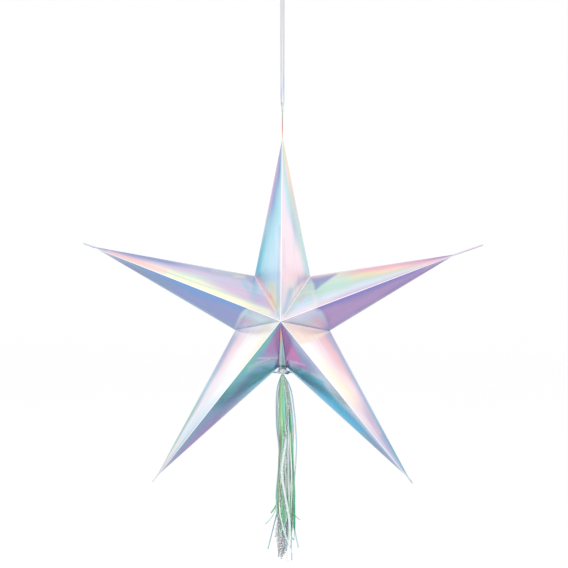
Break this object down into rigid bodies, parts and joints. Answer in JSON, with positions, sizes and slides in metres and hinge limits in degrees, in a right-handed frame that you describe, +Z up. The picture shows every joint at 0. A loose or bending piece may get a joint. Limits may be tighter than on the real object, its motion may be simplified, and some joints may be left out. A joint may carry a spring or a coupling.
{
  "type": "hanging star pinata",
  "caption": "Hollow five-pointed star of iridescent film card panels, hung by a doubled ribbon loop, with a film tassel tied at its lower notch",
  "frame": {"origin": "the middle of the loop that takes the hook, at the top of the ribbon", "axes": "+Z up, the front of the star faces -Y, +X to the right seen from the front; +Y is the loop's own axis"},
  "size_m": [0.5962, 0.15, 0.8858],
  "materials": {
    "film_ribbon": "satin",
    "iridescent_card": "gloss",
    "flap_card": "gloss",
    "clear_film": "gloss",
    "green_film": "gloss",
    "mint_film": "gloss",
    "clear_film_strips": "gloss",
    "silver_film": "gloss"
  },
  "bodies": {
    "loop": {"hanging_loop": "film_ribbon"},
    "knot": {"ribbon_knot": "film_ribbon"},
    "ribbon": {"hanging_ribbon": "film_ribbon"},
    "star": {"top_arm_left": "iridescent_card", "top_arm_right": "iridescent_card", "right_arm_upper": "iridescent_card", "right_arm_lower": "iridescent_card", "lower_right_arm_outer": "iridescent_card", "lower_right_arm_inner": "iridescent_card", "lower_left_arm_inner": "iridescent_card", "lower_left_arm_outer": "iridescent_card", "left_arm_lower": "iridescent_card", "left_arm_upper": "iridescent_card", "closing_flap": "flap_card", "tie": "clear_film"},
    "tassel_ring": {"tassel_knot": "clear_film"},
    "tassel": {"green_strips": "green_film", "mint_strips": "mint_film", "clear_strips": "clear_film_strips", "silver_strips": "silver_film"}
  },
  "joints": [
    {"name": "ribbon_sway", "type": "hinge", "parent": "loop", "child": "knot", "pos_m": [0, 0, -0.0138], "axis": [0, 1, 0], "range_deg": [-30, 30]},
    {"name": "ribbon_spin", "type": "hinge", "parent": "knot", "child": "ribbon", "pos_m": [0, 0, -0.0138], "axis": [0, 0, 1], "continuous": true},
    {"name": "star_rock", "type": "hinge", "parent": "ribbon", "child": "star", "pos_m": [0, 0, -0.1954], "axis": [1, 0, 0], "range_deg": [-35, 35]},
    {"name": "tassel_swing", "type": "hinge", "parent": "star", "child": "tassel_ring", "pos_m": [0, 0, -0.58568], "axis": [1, 0, 0], "range_deg": [-50, 50]},
    {"name": "tassel_sway", "type": "hinge", "parent": "tassel_ring", "child": "tassel", "pos_m": [0, 0, -0.58568], "axis": [0, 1, 0], "range_deg": [-25, 25]}
  ]
}
